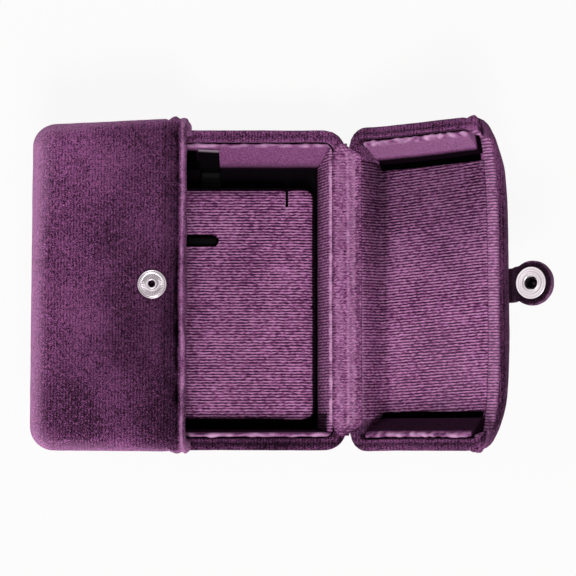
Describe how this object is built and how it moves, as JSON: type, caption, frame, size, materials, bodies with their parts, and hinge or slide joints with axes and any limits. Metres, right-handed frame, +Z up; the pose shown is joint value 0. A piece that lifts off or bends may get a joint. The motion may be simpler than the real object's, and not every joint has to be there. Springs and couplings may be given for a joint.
{
  "type": "jewellery box with two doors",
  "caption": "Velvet necklace box with two facing hinged doors, a ribbed pad on a lift-out ribbon inside, and a tab with a snap fastener that holds the doors shut",
  "frame": {"origin": "centre of the base's flat underside, on the table", "axes": "+X from the closed left door to the open right door, across the hinges; +Y to the back, along the hinges, up in the picture; +Z up. The left door is shut and the right door stands open by 145 degrees, as in the picture"},
  "size_m": [0.1635, 0.103, 0.0521],
  "materials": {
    "velvet": "plum velvet with a short dense pile",
    "ribbed_lining": "plum ribbed velvet with fine cords",
    "smooth_lining": "smooth plum velveteen over thin card and wadding",
    "shell_plastic": "moulded plastic case shell, hidden under the cloth",
    "card": "stiff board under the pad",
    "foam": "soft foam core of the pad",
    "satin": "black satin ribbon",
    "snap_metal": "bright nickel plated brass"
  },
  "bodies": {
    "base": {"base_cover": "velvet", "base_shell": "shell_plastic", "base_foot_sheet": "velvet", "base_floor_card": "card", "base_lining_back": "smooth_lining", "base_lining_front": "smooth_lining", "base_lining_left": "ribbed_lining", "base_lining_right": "ribbed_lining", "left_hinge_cloth": "ribbed_lining", "right_hinge_cloth": "ribbed_lining"},
    "pad": {"pad_cover": "ribbed_lining", "pad_foam": "foam", "pull_ribbon": "satin"},
    "left_door": {"left_door_cover": "velvet", "left_door_shell": "shell_plastic", "left_door_lining": "ribbed_lining", "left_door_side_lining_back": "smooth_lining", "left_door_side_lining_front": "smooth_lining", "left_door_edge_roll": "ribbed_lining", "snap_stud": "snap_metal", "stud_washer": "snap_metal"},
    "right_door": {"right_door_cover": "velvet", "right_door_shell": "shell_plastic", "right_door_lining": "ribbed_lining", "right_door_side_lining_back": "smooth_lining", "right_door_side_lining_front": "smooth_lining", "right_door_edge_roll": "ribbed_lining", "tab_root": "velvet"},
    "neck": {"tab_neck": "velvet"},
    "tab": {"tab_strap": "velvet", "snap_socket": "snap_metal", "socket_spring": "snap_metal", "snap_cap": "snap_metal"}
  },
  "joints": [
    {"name": "left_door_hinge", "type": "hinge", "parent": "base", "child": "left_door", "pos_m": [-0.0497, 0, 0.024], "axis": [0, -1, 0], "range_deg": [0, 180], "deforming": ["left_hinge_cloth"]},
    {"name": "right_door_hinge", "type": "hinge", "parent": "base", "child": "right_door", "pos_m": [0.0497, 0, 0.024], "axis": [0, 1, 0], "range_deg": [-145, 35], "deforming": ["right_hinge_cloth"]},
    {"name": "tab_neck_curl", "type": "hinge", "parent": "right_door", "child": "neck", "pos_m": [0.1016, 0, 0.03757], "axis": [0, 1, 0], "range_deg": [-17.5, 70]},
    {"name": "tab_flex", "type": "hinge", "parent": "neck", "child": "tab", "pos_m": [0.10167, 0, 0.04348], "axis": [0, 1, 0], "range_deg": [-72.5, 10]},
    {"name": "pad_lift", "type": "slide", "parent": "base", "child": "pad", "axis": [0, 0, 1], "range_m": [0, 0.015], "deforming": ["pull_ribbon"]}
  ],
  "couplings": [
    {"joint": "tab_neck_curl", "follows": "right_door_hinge", "ratio": -0.47931}
  ]
}
